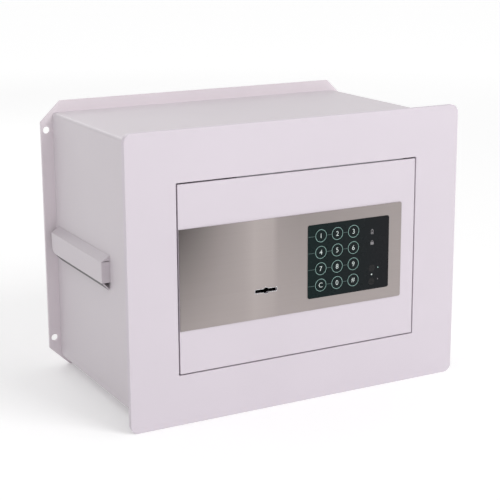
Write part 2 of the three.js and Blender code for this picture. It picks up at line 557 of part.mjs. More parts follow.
// ---------------------------------------------------------------- the safe
buildBody();
buildAnchor('side_anchor_left', SHELL.x0, -1);
buildAnchor('side_anchor_right', SHELL.x1, 1);
buildHinge('upper', OPENING.z1, 1);
buildHinge('lower', OPENING.z0, -1);
buildHingeWasher();
buildStop('door_stop_upper', OPENING.z1, 1);
buildStop('door_stop_lower', OPENING.z0, -1);
buildKeeper();
buildPushSpring();
buildDoor();
buildKeypad();
buildLock();
buildBoltWork();
buildDrive();
buildCover();
buildBatteryLid();
buildBatteries();
buildElectronics();
buildRibbon();

export default safe;
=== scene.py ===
import math

import bmesh
import bpy
from mathutils import Matrix, Vector


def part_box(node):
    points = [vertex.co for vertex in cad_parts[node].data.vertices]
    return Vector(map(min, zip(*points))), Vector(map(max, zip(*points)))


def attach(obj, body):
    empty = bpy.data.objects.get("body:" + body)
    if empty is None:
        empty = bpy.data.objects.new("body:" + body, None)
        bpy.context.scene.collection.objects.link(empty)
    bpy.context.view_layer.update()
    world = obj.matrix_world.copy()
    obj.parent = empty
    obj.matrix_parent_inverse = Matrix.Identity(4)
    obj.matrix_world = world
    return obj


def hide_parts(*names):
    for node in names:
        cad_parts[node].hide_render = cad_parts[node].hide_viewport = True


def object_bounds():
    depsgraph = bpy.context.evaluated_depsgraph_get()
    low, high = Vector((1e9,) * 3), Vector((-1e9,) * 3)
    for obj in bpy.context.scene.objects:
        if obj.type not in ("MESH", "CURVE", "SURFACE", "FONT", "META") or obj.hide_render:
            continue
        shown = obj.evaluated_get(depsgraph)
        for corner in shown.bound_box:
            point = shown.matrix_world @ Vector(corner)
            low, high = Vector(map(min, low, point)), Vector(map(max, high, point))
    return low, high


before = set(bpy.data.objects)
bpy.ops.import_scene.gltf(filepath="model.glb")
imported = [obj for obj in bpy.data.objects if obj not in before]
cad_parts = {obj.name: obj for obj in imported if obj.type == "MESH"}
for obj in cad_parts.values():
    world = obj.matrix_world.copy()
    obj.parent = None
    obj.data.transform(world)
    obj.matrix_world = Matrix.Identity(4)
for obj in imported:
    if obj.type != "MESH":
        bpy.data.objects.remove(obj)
cad_low, cad_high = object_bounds()

MM = 0.001
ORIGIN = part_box("front_plate")[0]          # front lower left corner of the front plate
PI = math.pi


def lay(node):
    """A node's box as x0, x1, y0, y1, z0, z1 in millimetres from the front plate's corner."""
    low, high = ((corner - ORIGIN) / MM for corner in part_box(node))
    return low.x, high.x, low.y, high.y, low.z, high.z


def point(x, y, z):
    return ORIGIN + Vector((x, y, z)) * MM


def scene_object(name, data):
    obj = bpy.data.objects.new(name, data)
    bpy.context.scene.collection.objects.link(obj)
    return obj


# ---------------------------------------------------------------- camera
CAMERA = dict(x=-493.2, y=-1174.8, z=525.0, azimuth=-28.26, elevation=13.32, roll=-0.29)   # mm, degrees
FOCAL_RATIO = 2.6628                       # focal length over the frame's width
RISE = -0.06                               # vertical shift, in frame widths


def make_camera():
    cam = bpy.data.cameras.new("camera")
    cam.sensor_width = 36
    cam.lens = cam.sensor_width * FOCAL_RATIO
    cam.shift_y = RISE
    cam.clip_start = 0.01
    cam.clip_end = 100
    obj = scene_object("camera", cam)
    turn, lift, roll = (math.radians(CAMERA[key]) for key in ("azimuth", "elevation", "roll"))
    back = Vector((math.sin(turn) * math.cos(lift), -math.cos(turn) * math.cos(lift), math.sin(lift)))
    level = Vector((0, 0, 1)).cross(back).normalized()
    up = back.cross(level)
    right = level * math.cos(roll) + up * math.sin(roll)
    up = back.cross(right)
    place = Matrix((right, up, back)).transposed().to_4x4()
    place.translation = point(CAMERA["x"], CAMERA["y"], CAMERA["z"])
    obj.matrix_world = place
    bpy.context.scene.camera = obj


make_camera()


# ---------------------------------------------------------------- material nodes
FACTOR_IN, FIRST_IN, SECOND_IN, COLOR_OUT = 0, 6, 7, 2   # the Mix node's sockets when it mixes colours


class Shader:
    """A Principled material whose inputs are driven by a few procedural nodes."""

    def __init__(self, name, color, roughness, metallic=0.0, **sockets):
        self.material = bpy.data.materials.new(name)
        self.material.use_nodes = True
        self.nodes = self.material.node_tree.nodes
        self.links = self.material.node_tree.links
        self.bsdf = self.nodes["Principled BSDF"]
        self.set("Base Color", (*color, 1))
        self.set("Roughness", roughness)
        self.set("Metallic", metallic)
        for socket, value in sockets.items():
            self.set(socket.replace("_", " "), value)
        self.coords = self.nodes.new("ShaderNodeTexCoord")

    def set(self, socket, value):
        self.bsdf.inputs[socket].default_value = value

    def drive(self, socket, output):
        self.links.new(output, self.bsdf.inputs[socket])

    def noise(self, scale, stretch=(1, 1, 1), detail=3.0):
        mapping = self.nodes.new("ShaderNodeMapping")
        mapping.inputs["Scale"].default_value = stretch
        self.links.new(self.coords.outputs["Object"], mapping.inputs["Vector"])
        noise = self.nodes.new("ShaderNodeTexNoise")
        noise.inputs["Scale"].default_value = scale
        noise.inputs["Detail"].default_value = detail
        noise.inputs["Roughness"].default_value = 0.55
        self.links.new(mapping.outputs["Vector"], noise.inputs["Vector"])
        return noise.outputs["Fac"]

    def along(self, axis):
        split = self.nodes.new("ShaderNodeSeparateXYZ")
        self.links.new(self.coords.outputs["Object"], split.inputs["Vector"])
        return split.outputs[axis]

    def spread(self, value, low, high, from_low=0.25, from_high=0.75):
        """A value's range stretched to low..high; the defaults suit a noise."""
        node = self.nodes.new("ShaderNodeMapRange")
        ends = {"From Min": from_low, "From Max": from_high, "To Min": low, "To Max": high}
        for socket, number in ends.items():
            node.inputs[socket].default_value = number
        self.links.new(value, node.inputs["Value"])
        return node.outputs["Result"]

    def blend(self, factor, first, second):
        """One plain colour turning into another."""
        ramp = self.nodes.new("ShaderNodeValToRGB")
        ramp.color_ramp.elements[0].color = (*first, 1)
        ramp.color_ramp.elements[1].color = (*second, 1)
        self.links.new(factor, ramp.inputs["Fac"])
        return ramp.outputs["Color"]

    def ramp(self, factor, stops):
        """A colour ramp; each stop is (place, colour)."""
        node = self.nodes.new("ShaderNodeValToRGB")
        while len(node.color_ramp.elements) < len(stops):
            node.color_ramp.elements.new(1)
        for element, (place, color) in zip(node.color_ramp.elements, stops):
            element.position = place
            element.color = (*color, 1)
        self.links.new(factor, node.inputs["Fac"])
        return node.outputs["Color"]

    def between(self, factor, first, second):
        """One colour output turning into another."""
        node = self.nodes.new("ShaderNodeMix")
        node.data_type = "RGBA"
        for socket, output in zip((FACTOR_IN, FIRST_IN, SECOND_IN), (factor, first, second)):
            self.links.new(output, node.inputs[socket])
        return node.outputs[COLOR_OUT]

    def tint(self, color, factor):
        """A colour times a factor."""
        node = self.nodes.new("ShaderNodeVectorMath")
        node.operation = "SCALE"
        self.links.new(color, node.inputs["Vector"])
        self.links.new(factor, node.inputs["Scale"])
        return node.outputs["Vector"]

    def mean(self, first, second):
        node = self.nodes.new("ShaderNodeMath")
        node.operation = "ADD"
        self.links.new(first, node.inputs[0])
        self.links.new(second, node.inputs[1])
        half = self.nodes.new("ShaderNodeMath")
        half.operation = "MULTIPLY"
        half.inputs[1].default_value = 0.5
        self.links.new(node.outputs[0], half.inputs[0])
        return half.outputs[0]

    def bump(self, height, strength, depth_mm):
        node = self.nodes.new("ShaderNodeBump")
        node.inputs["Strength"].default_value = strength
        node.inputs["Distance"].default_value = depth_mm * MM
        self.links.new(height, node.inputs["Height"])
        self.links.new(node.outputs["Normal"], self.bsdf.inputs["Normal"])

    def vary(self, color_low, color_high, factor):
        self.drive("Base Color", self.blend(self.spread(factor, 0, 1), color_low, color_high))


STEEL_HUE = (1.125, 1.0, 0.975)            # what a tone is times, in red, green and blue
STEEL_PAINTED_REFLECTION_TOP = [                             # painted reflection bands along the fascia's upper edge, darkest at its left end: share of its width, tone
    (0.0, 0.092), (0.07, 0.142), (0.17, 0.230), (0.27, 0.304), (0.32, 0.355),
    (0.40, 0.338), (0.425, 0.270), (0.52, 0.248), (0.60, 0.255), (1.0, 0.291),
]
STEEL_PAINTED_REFLECTION_BOTTOM = [                              # and painted reflection bands along its lower edge
    (0.0, 0.300), (0.07, 0.325), (0.17, 0.345), (0.27, 0.355), (0.32, 0.385),
    (0.40, 0.362), (0.425, 0.343), (0.60, 0.330), (1.0, 0.339),
]
PAINTED_UNDERSIDE_SHADE = (0.07, 0.068, 0.07)           # painted shade on faces that look down: its darker tone, and below its paler tone, mottled by a noise
PAINTED_UNDERSIDE_SHADE_PALE = (0.13, 0.125, 0.13)
PAINTED_SHADE_FACING = -0.4, -0.6                    # the normal's height where the painted shade starts, and where it is full


def powder_coat(name, color, painted_shade_below=False):
    """Satin powder coat: fine orange peel over a smooth sheet, with a slight drift of tone.

    Where the last argument is set, the faces that look down are painted dark as shade under the piece:
    painted shade, mottled a little.
    """
    s = Shader(name, color, 0.45, Specular_IOR_Level=0.4)
    dim = tuple(0.965 * c for c in color)
    s.vary(dim, color, s.noise(7, detail=2))
    # painted shade: faces that look down turn dark, as the shade under the piece
    if painted_shade_below:
        coat = s.bsdf.inputs["Base Color"].links[0].from_socket
        split = s.nodes.new("ShaderNodeSeparateXYZ")
        s.links.new(s.coords.outputs["Normal"], split.inputs["Vector"])
        underside_shade = s.blend(s.noise(300), PAINTED_UNDERSIDE_SHADE, PAINTED_UNDERSIDE_SHADE_PALE)
        downward = s.spread(split.outputs["Z"], 0, 1, *PAINTED_SHADE_FACING)
        s.drive("Base Color", s.between(downward, coat, underside_shade))
    s.drive("Roughness", s.spread(s.noise(900), 0.38, 0.52))
    s.bump(s.mean(s.noise(520, detail=2), s.noise(1500, detail=2)), 0.10, 0.12)
    return s.material


def brushed_steel():
    """Sheet steel brushed along X: fine streaks, and soft upright bands of painted reflection, darker and
    lighter across its width.
    """
    s = Shader("brushed_steel", (0.5, 0.48, 0.47), 0.32, 1.0, Anisotropic=0.75)
    tangent = s.nodes.new("ShaderNodeTangent")
    tangent.direction_type = "RADIAL"
    tangent.axis = "Z"
    s.links.new(tangent.outputs["Tangent"], s.bsdf.inputs["Tangent"])
    fine = s.noise(1, (9, 1, 3600), detail=4)
    broad = s.noise(1, (3, 1, 500), detail=3)
    streaks = s.mean(fine, broad)
    low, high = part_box("steel_fascia")
    across = s.spread(s.along("X"), 0, 1, low.x, high.x)
    # the base colour carries painted reflection: upright lighter and darker bands, blended from the lower
    # edge's row to the upper edge's row
    rows = [s.ramp(across, [(place, tuple(tone * c for c in STEEL_HUE)) for place, tone in row])
            for row in (STEEL_PAINTED_REFLECTION_BOTTOM, STEEL_PAINTED_REFLECTION_TOP)]
    painted_reflection = s.between(s.spread(s.along("Z"), 0, 1, low.z, high.z), *rows)
    s.drive("Base Color", s.tint(painted_reflection, s.spread(streaks, 0.96, 1.03)))
    s.drive("Roughness", s.spread(streaks, 0.26, 0.38))
    s.bump(fine, 0.10, 0.02)
    return s.material


def keypad_gloss():
    """Dark printed film, greener towards the keys, with faint fingertip haze in its gloss."""
    s = Shader("keypad_gloss", (0.012, 0.016, 0.017), 0.22, Specular_IOR_Level=0.11)
    x0, x1 = (ORIGIN.x + value * MM for value in lay("keypad_overlay")[:2])
    across = s.spread(s.along("X"), 0, 1, x0, x1)
    s.drive("Base Color", s.blend(across, (0.003, 0.011, 0.011), (0.009, 0.009, 0.011)))
    s.drive("Roughness", s.spread(s.noise(60, detail=4), 0.18, 0.34))
    s.bump(s.noise(1800, detail=1), 0.03, 0.02)
    return s.material


def printed(name, color):
    s = Shader(name, color, 0.5)
    s.vary(tuple(0.88 * c for c in color), color, s.noise(900))
    return s.material


def metal(name, color, roughness, grain, depth_mm=0.01, spangle=0.0):
    """Bare or plated metal: fine grain, and larger spangle where it is zinc plated."""
    s = Shader(name, color, roughness, 1.0)
    pattern = s.noise(grain, detail=4)
    if spangle:
        pattern = s.mean(pattern, s.noise(spangle, detail=1))
    s.vary(tuple(0.8 * c for c in color), color, pattern)
    s.drive("Roughness", s.spread(pattern, roughness - 0.08, roughness + 0.1))
    s.bump(s.noise(grain * 2), 0.15, depth_mm)
    return s.material


def moulded(name, color, roughness=0.55, **sockets):
    """Moulded plastic with a spark-eroded texture."""
    s = Shader(name, color, roughness, **sockets)
    s.vary(tuple(0.8 * c for c in color), color, s.noise(30))
    s.drive("Roughness", s.spread(s.noise(400), roughness - 0.06, roughness + 0.1))
    s.bump(s.noise(2600, detail=2), 0.25, 0.05)
    return s.material


def felt():
    s = Shader("felt", (0.09, 0.09, 0.1), 0.95, Sheen_Weight=0.5, Sheen_Roughness=0.6)
    fibres = s.mean(s.noise(1, (2200, 500, 500)), s.noise(1, (500, 2200, 500)))
    s.vary((0.055, 0.055, 0.06), (0.15, 0.15, 0.16), fibres)
    s.bump(fibres, 0.7, 0.4)
    return s.material


def circuit():
    s = Shader("circuit", (0.02, 0.13, 0.06), 0.3)
    tracks = s.noise(160, (1, 1, 0.3), detail=0)
    s.vary((0.012, 0.09, 0.04), (0.03, 0.2, 0.09), tracks)
    s.bump(tracks, 0.2, 0.05)
    return s.material


JACKET = (0.02, 0.02, 0.022)
COPPER = (0.55, 0.28, 0.12)
COPPER_FROM = 0.68, 0.69                   # where the copper colour starts, as shares of the cell's length


def battery_jacket():
    """A printed sleeve: dark along most of the cell and copper-coloured at its positive end."""
    s = Shader("battery_jacket", JACKET, 0.3, 0.35)
    x0, x1 = (ORIGIN.x + value * MM for value in lay("battery_1")[:2])
    edges = [x0 + share * (x1 - x0) for share in COPPER_FROM]
    s.drive("Base Color", s.blend(s.spread(s.along("X"), 0, 1, *edges), JACKET, COPPER))
    s.drive("Roughness", s.spread(s.noise(200), 0.25, 0.36))
    return s.material


WHITE = powder_coat("white_coat", (0.645, 0.588, 0.645))
# a copy of the white coat with its tint shifted for the side walls: painted light, the colour of the light
# that falls on them
WHITE_SIDE_TINTED = powder_coat("white_coat_side_painted_tint", (0.645, 0.596, 0.632))
# a lighter copy of the white coat for the back plate: painted light, so its top flange shows brighter than
# the front plate
WHITE_BACK_LIT = powder_coat("white_coat_back_painted_light", (0.74, 0.675, 0.715))
# a darker copy of the white coat for the side anchors: painted shade, with painted shade on their
# undersides as well
WHITE_STRIP_SHADED = powder_coat("white_coat_strip_painted_shade", (0.63, 0.58, 0.617), painted_shade_below=True)
STEEL = brushed_steel()
GLOSS = keypad_gloss()
DIGIT = printed("digit_print", (0.72, 0.80, 0.78))
RING = printed("ring_print", (0.28, 0.46, 0.42))
LINK = printed("link_print", (0.08, 0.14, 0.13))
ICON = printed("icon_print", (0.22, 0.21, 0.22))
SMOKE = moulded("smoked_window", (0.017, 0.017, 0.018), 0.25, Specular_IOR_Level=0.13)
# near-black metal for the key rotor in place of its brass: painted shade deep in the keyhole
KEYHOLE_SHADE = metal("key_rotor_painted_shade", (0.025, 0.025, 0.026), 0.5, 700)
ZINC = metal("zinc", (0.60, 0.62, 0.64), 0.38, 500, 0.02, spangle=90)
BRIGHT = metal("bright_steel", (0.70, 0.70, 0.71), 0.24, 900)
DARK_BRASS = metal("dark_brass", (0.30, 0.24, 0.13), 0.4, 700)
PLASTIC = moulded("charcoal_plastic", (0.030, 0.031, 0.034))
FELT = felt()
CIRCUIT = circuit()
CELL = battery_jacket()
CABLE = moulded("cable_jacket", (0.42, 0.44, 0.46), 0.5)


# ---------------------------------------------------------------- outlines, in millimetres
def arc(cx, cz, radius, start, end, steps):
    angles = [start + (end - start) * i / steps for i in range(steps + 1)]
    return [(cx + radius * math.cos(a), cz + radius * math.sin(a)) for a in angles]


def circle(cx, cz, radius, steps=48):
    return arc(cx, cz, radius, 0, 2 * PI * (steps - 1) / steps, steps - 1)


def rounded(x0, x1, z0, z1, right, left=None, steps=10):
    """A rectangle with rounded corners; left is for another radius at its left end."""
    left = right if left is None else left
    corners = [(x1 - right, z0 + right, right, -0.5), (x1 - right, z1 - right, right, 0),
               (x0 + left, z1 - left, left, 0.5), (x0 + left, z0 + left, left, 1)]
    return [p for cx, cz, r, turn in corners for p in arc(cx, cz, r, turn * PI, (turn + 0.5) * PI, steps)]


def keyhole(cx, cz, width, height, barrel):
    """A slim slot for a double-bit key with a round way for its barrel in the middle."""
    lean = math.asin(height / 2 / barrel)
    right = [(cx + width / 2, cz - height / 2), (cx + width / 2, cz + height / 2)]
    left = [(cx - width / 2, cz + height / 2), (cx - width / 2, cz - height / 2)]
    over = arc(cx, cz, barrel, lean, PI - lean, 14)
    under = arc(cx, cz, barrel, PI + lean, 2 * PI - lean, 14)
    return right + over + left + under


# ---------------------------------------------------------------- mesh building
SHARP = 35                                 # degrees between faces
SAME_POINT = 1e-6                          # metres


def finish_mesh(name, bm, material, body, smooth_angle=None):
    """Makes the object, gives it its material, and sets its body."""
    bmesh.ops.recalc_face_normals(bm, faces=bm.faces)
    mesh = bpy.data.meshes.new(name)
    bm.to_mesh(mesh)
    bm.free()
    mesh.shade_smooth()
    if smooth_angle:
        mesh.set_sharp_from_angle(angle=math.radians(smooth_angle))
    obj = scene_object(name, mesh)
    mesh.materials.append(material)
    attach(obj, body)
    return obj


def soften(obj, width_mm, segments=3):
    """Rounds the edges that are sharper than SHARP degrees."""
    bevel = obj.modifiers.new("edge_radius", "BEVEL")
    bevel.width = width_mm * MM
    bevel.segments = segments
    bevel.limit_method = "ANGLE"
    bevel.angle_limit = math.radians(SHARP)
    bevel.harden_normals = True


def slab(name, loops, y0, y1, material, body, edge=0.3, standing_for=()):
    """A flat piece in the plane of the front: an outline, with holes, from y0 back to y1."""
    bm = bmesh.new()
    for loop in loops:
        corners = [bm.verts.new(point(x, y0, z)) for x, z in loop]
        for i, corner in enumerate(corners):
            if (corner.co - corners[i - 1].co).length > 1e-7:
                bm.edges.new((corners[i - 1], corner))
    bmesh.ops.remove_doubles(bm, verts=bm.verts, dist=SAME_POINT)
    bmesh.ops.triangle_fill(bm, use_beauty=True, edges=bm.edges[:])
    grown = bmesh.ops.extrude_face_region(bm, geom=bm.faces[:])
    moved = [part for part in grown["geom"] if isinstance(part, bmesh.types.BMVert)]
    bmesh.ops.translate(bm, verts=moved, vec=(0, (y1 - y0) * MM, 0))
    bmesh.ops.dissolve_limit(bm, angle_limit=math.radians(0.5), verts=bm.verts, edges=bm.edges)
    obj = finish_mesh(name, bm, material, body, None if edge else 30)
    if edge:
        soften(obj, edge)
    if standing_for:
        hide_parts(*standing_for)


def lathe(name, axis, a, b, profile, material, body, standing_for=(), steps=64, ring=False):
    """A turned piece on an axis through (a, b); profile is (radius, place along the axis) in mm."""
    def at(radius, along, angle):
        u, v = a + radius * math.cos(angle), b + radius * math.sin(angle)
        return {"x": point(along, u, v), "y": point(u, along, v), "z": point(u, v, along)}[axis]

    bm = bmesh.new()
    rows = []
    for radius, along in profile:
        count = 1 if radius < 1e-6 else steps
        rows.append([bm.verts.new(at(radius, along, 2 * PI * i / steps)) for i in range(count)])
    pairs = list(zip(rows, rows[1:])) + ([(rows[-1], rows[0])] if ring else [])
    for first, second in pairs:
        for i in range(steps):
            j = (i + 1) % steps
            corners = [row[k % len(row)] for row, k in ((first, i), (first, j), (second, j), (second, i))]
            bm.faces.new(list(dict.fromkeys(corners)))
    obj = finish_mesh(name, bm, material, body, 32)
    if standing_for:
        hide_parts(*standing_for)


# ---------------------------------------------------------------- body of the safe
PLATE_CORNER = 9                           # these are all millimetres
LEAF_CORNER = 0.8                          # of the door leaf and of the doorway
DOOR_GAP = 1.5
SHELL_WALL = 3
SHELL_FOLD = 4                             # outside radius of the shell's folds
BACK_CLIP = 24, 23                         # what is cut off each corner of the back plate, along X and Z
FIXING_RADIUS = 4
FIXING_INSET = 6.5                         # from the back plate's ends
FIXING_HEIGHTS = 35, 279.5


def make_body():
    x0, x1, y0, y1, z0, z1 = lay("front_plate")
    leaf = lay("door_leaf")
    doorway = rounded(leaf[0] - DOOR_GAP, leaf[1] + DOOR_GAP, leaf[4] - DOOR_GAP, leaf[5] + DOOR_GAP,
                      LEAF_CORNER, steps=4)
    slab("front_plate_coated", [rounded(x0, x1, z0, z1, PLATE_CORNER, steps=16), doorway], y0, y1,
         WHITE, "housing", 0.7, ["front_plate"])

    x0, x1, y0, y1, z0, z1 = lay("body_shell")
    wall = SHELL_WALL
    room = rounded(x0 + wall, x1 - wall, z0 + wall, z1 - wall, SHELL_FOLD - wall, steps=6)
    slab("body_shell_folded", [rounded(x0, x1, z0, z1, SHELL_FOLD), room], y0, y1, WHITE_SIDE_TINTED,
         "housing", 0, ["body_shell"])

    x0, x1, y0, y1, z0, z1 = lay("back_plate")
    cx, cz = BACK_CLIP
    sheet = [(x0 + cx, z0), (x1 - cx, z0), (x1, z0 + cz), (x1, z1 - cz), (x1 - cx, z1),
             (x0 + cx, z1), (x0, z1 - cz), (x0, z0 + cz)]
    columns = x0 + FIXING_INSET, x1 - FIXING_INSET
    holes = [circle(x, z, FIXING_RADIUS) for x in columns for z in FIXING_HEIGHTS]
    # the back plate takes the lighter copy of the coat, a painted light
    slab("back_plate_cut", [sheet, *holes], y0, y1, WHITE_BACK_LIT, "housing", 0.4, ["back_plate"])


# ---------------------------------------------------------------- door, fascia and keypad
DOOR = "door"
PAD_LAP = 3.9                              # how far the keypad laps over the edge of its window
KEY_SLOT = 25.8, 3.7, 3.3                  # width, height and radius of the barrel's way
KEY_RIM = 26.8, 4.7, 3.8                   # the same for the outside of the slot's bright edge
LEAF_SLOT = 28.2, 5.4, 4.4                 # and for the clearance in the leaf behind
RIM_STANDS = 0.05                          # how far the bright edge stands on the fascia
FASCIA_CORNERS = 2.2, 0.3                  # at its right and left ends


def make_door():
    key_x, key_z = [sum(lay("key_rotor")[i:i + 2]) / 2 for i in (0, 4)]
    pad = lay("keypad_overlay")
    window = rounded(pad[0] + PAD_LAP, pad[1] - PAD_LAP, pad[4] + PAD_LAP, pad[5] - PAD_LAP, 0.5, steps=3)
    slot, rim, leaf_slot = [keyhole(key_x, key_z, *size) for size in (KEY_SLOT, KEY_RIM, LEAF_SLOT)]
    x0, x1, y0, y1, z0, z1 = lay("door_leaf")
    slab("door_leaf_coated", [rounded(x0, x1, z0, z1, LEAF_CORNER, steps=4), window, leaf_slot], y0, y1,
         WHITE, DOOR, 0.35, ["door_leaf"])
    x0, x1, y0, y1, z0, z1 = lay("steel_fascia")
    slab("steel_fascia_brushed", [rounded(x0, x1, z0, z1, *FASCIA_CORNERS), window, rim], y0, y1,
         STEEL, DOOR, 0.15, ["steel_fascia"])
    slab("keyhole_rim", [rim, slot], y0 - RIM_STANDS, y1, BRIGHT, DOOR, 0.12)


KEYS = [(digit, digit) for digit in "123456789"] + [("c", "C"), ("0", "0"), ("hash", "#")]
KEY_ROWS = ("1", "2", "3"), ("4", "5", "6"), ("7", "8", "9"), ("c", "0", "hash")
PRINT = 0.06                               # how far the print stands on the film
ROOT = 0.02                                # and how far it reaches into it
KEY_RADIUS = 7.2
KEY_CLEARANCE = 0.12                       # between a key and the film around it
STEM_RADIUS = 2.5
RING_RADII = 6.9, 6.45
SIGN_SIZE = 7.6
STROKE_OFFSET = -0.07                      # makes the font's strokes thinner


def letter(name, text, x, z, y, material, body):
    """A printed character, its middle at (x, z)."""
    font = bpy.data.curves.new(name, "FONT")
    font.body = text
    font.size = SIGN_SIZE * MM
    font.extrude = PRINT / 2 * MM
    font.resolution_u = 6
    font.offset = STROKE_OFFSET * MM
    maker = scene_object(name + "_maker", font)
    bpy.context.view_layer.update()
    mesh = bpy.data.meshes.new_from_object(maker.evaluated_get(bpy.context.evaluated_depsgraph_get()))
    bpy.data.objects.remove(maker)
    bpy.data.curves.remove(font)
    low = Vector(map(min, *[v.co for v in mesh.vertices]))
    high = Vector(map(max, *[v.co for v in mesh.vertices]))
    stand = Matrix.Translation(point(x, y + PRINT / 2, z)) @ Matrix.Rotation(PI / 2, 4, "X")
    mesh.transform(stand @ Matrix.Translation(-(low + high) / 2))
    mesh.materials.clear()
    mesh.materials.append(material)
    obj = scene_object(name, mesh)
    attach(obj, body)
    return obj


def make_keypad():
    x0, x1, y0, y1, z0, z1 = lay("keypad_overlay")
    face = y0 + PRINT
    centres = {}
    for node, _ in KEYS:
        box = lay("key_" + node)
        centres[node] = ((box[0] + box[1]) / 2, (box[4] + box[5]) / 2)
    holes = [circle(x, z, KEY_RADIUS + KEY_CLEARANCE) for x, z in centres.values()]
    slab("keypad_film", [rounded(x0, x1, z0, z1, 2.4, steps=8), *holes], face, y1, GLOSS,
         DOOR, 0.1, ["keypad_overlay"])
    for node, text in KEYS:
        x, z = centres[node]
        body = "key_" + node
        stem_end = lay("key_" + node)[3]
        dished = [(0, face + 0.08), (4, face + 0.05), (6.4, face), (7.0, face), (KEY_RADIUS, face + 0.12)]
        stem = [(KEY_RADIUS, y1), (STEM_RADIUS, y1), (STEM_RADIUS, stem_end), (0, stem_end)]
        lathe(f"key_cap_{node}", "y", x, z, dished + stem, GLOSS, body, [body], 48)
        ring = [circle(x, z, radius, 64) for radius in RING_RADII]
        slab(f"key_ring_{node}", ring, y0, face + 0.05, RING, body, 0)
        letter(f"key_sign_{node}", text, x, z, y0, DIGIT, body)
    make_pad_print(x0, x1, y0, face, centres)


LINK_HALF = 0.2                            # half the width of a link line
LINK_CLEAR = KEY_RADIUS + 0.3              # where a line stops short of a key's middle
SIGN_COLUMN = 0.787                        # where the signs stand, as a share of the keypad's width
WINDOWS = [("window_upper", 138), ("window_lower", 123)]                # name, height
WINDOW_RADIUS = 4
WINDOW_SUNK = 0.02                         # how far a window lies behind the print
DOTS = [                                   # name, place from the column, height, radius, ink
    ("dot_right", 8, 138, 0.7, RING), ("dot_low", 8, 125, 0.6, ICON), ("dot_middle", 0, 131, 0.8, DIGIT),
]
BATTERY_SIGN_HEIGHT = 179
LOCK_SIGN_HEIGHT = 167


def stamp(name, loops, y0, face, material):
    """A piece of print on the film."""
    slab(name, loops, y0, face + ROOT, material, DOOR, 0)


def bar(name, x0, x1, z0, z1, y0, face, material, round_to=0.15):
    stamp(name, [rounded(x0, x1, z0, z1, round_to, steps=3)], y0, face, material)


def make_pad_print(x0, x1, y0, face, centres):
    """Link lines, two small signs and the indicator windows."""
    for row, nodes in enumerate(KEY_ROWS):
        ends = [x0 + 0.3]
        for node in nodes:
            ends += [centres[node][0] - LINK_CLEAR, centres[node][0] + LINK_CLEAR]
        z = centres[nodes[0]][1]
        for i in range(0, 6, 2):
            bar(f"link_{row}_{i // 2}", ends[i], ends[i + 1], z - LINK_HALF, z + LINK_HALF, y0, face, LINK)
    column = x0 + SIGN_COLUMN * (x1 - x0)
    for name, z in WINDOWS:
        stamp(name, [circle(column, z, WINDOW_RADIUS)], y0 + WINDOW_SUNK, face, SMOKE)
    for name, offset, z, radius, ink in DOTS:
        stamp(name, [circle(column + offset, z, radius, 20)], y0, face, ink)
    battery_sign(column, BATTERY_SIGN_HEIGHT, y0, face)
    lock_sign(column, LOCK_SIGN_HEIGHT, y0, face)


def battery_sign(x, z, y0, face):
    case = [rounded(x - 1.6, x + 1.6, z - 2.6, z + 2.2, 0.4, steps=3),
            rounded(x - 1.1, x + 1.1, z - 2.1, z + 1.7, 0.2, steps=3)]
    stamp("battery_sign", case, y0, face, ICON)
    bar("battery_sign_level", x - 0.7, x + 0.7, z - 1.7, z - 0.2, y0, face, ICON)
    bar("battery_sign_cap", x - 0.7, x + 0.7, z + 2.35, z + 2.9, y0, face, ICON)


def lock_sign(x, z, y0, face):
    bar("lock_sign_case", x - 2, x + 2, z - 2.4, z + 0.6, y0, face, ICON, 0.4)
    outer = arc(x, z + 0.8, 1.5, 0, PI, 14)
    inner = arc(x, z + 0.8, 0.95, PI, 0, 14)
    stamp("lock_sign_bow", [outer + inner], y0, face, ICON)


# ---------------------------------------------------------------- round pieces
def middle_of(node, *axes):
    """The middle of a node's box along the axes named by number."""
    box = lay(node)
    return [(box[2 * axis] + box[2 * axis + 1]) / 2 for axis in axes]


def make_bolts():
    for node in ("bolt_lower", "bolt_upper"):
        x0, x1 = lay(node)[:2]
        y, z = middle_of(node, 1, 2)
        profile = [(0, x0), (7.6, x0), (8, x0 + 0.4), (8, x1 - 2), (7.85, x1 - 1.6), (6.3, x1 - 0.15),
                   (6, x1), (0, x1)]
        lathe(node + "_turned", "x", y, z, profile, BRIGHT, "bolt_work", [node])


def make_hinge_pins():
    for node in ("hinge_pin_upper", "hinge_pin_lower"):
        low, high = lay(node)[4:]
        x, y = middle_of(node, 0, 1)
        head, tail = (high, low) if node.endswith("upper") else (low, high)
        turn = 1 if head > tail else -1
        profile = [(0, tail), (1.5, tail), (2, tail + 0.5 * turn), (2, head - 2 * turn),
                   (2.8, head - 2 * turn), (2.8, head - 0.5 * turn), (2.4, head), (0, head)]
        lathe(node + "_turned", "z", x, y, profile, BRIGHT, "housing", [node])
    low, high = lay("hinge_washer")[4:]
    x, y = middle_of("hinge_washer", 0, 1)
    profile = [(2.1, low), (4.1, low), (4.4, low + 0.3), (4.4, high - 0.3), (4.1, high), (2.1, high)]
    lathe("hinge_washer_turned", "z", x, y, profile, DARK_BRASS, "housing", ["hinge_washer"],
          ring=True)


CELL_RADIUS = 7.2


def make_batteries():
    for i in range(1, 5):
        node = f"battery_{i}"
        x0, x1 = lay(node)[:2]
        y, z = middle_of(node, 1, 2)
        profile = [(0, x0), (4.6, x0), (4.8, x0 + 0.3), (6.7, x0 + 0.3), (CELL_RADIUS, x0 + 0.8),
                   (CELL_RADIUS, x1 - 2.4), (6.7, x1 - 1.9), (3.4, x1 - 1.9), (2.7, x1 - 1.5),
                   (2.6, x1 - 0.3), (2.3, x1), (0, x1)]
        lathe(node + "_cell", "x", y, z, profile, CELL, DOOR, [node], 48)


# ---------------------------------------------------------------- CAD nodes that keep their shape
WELD_REACH = 1e-5                          # metres


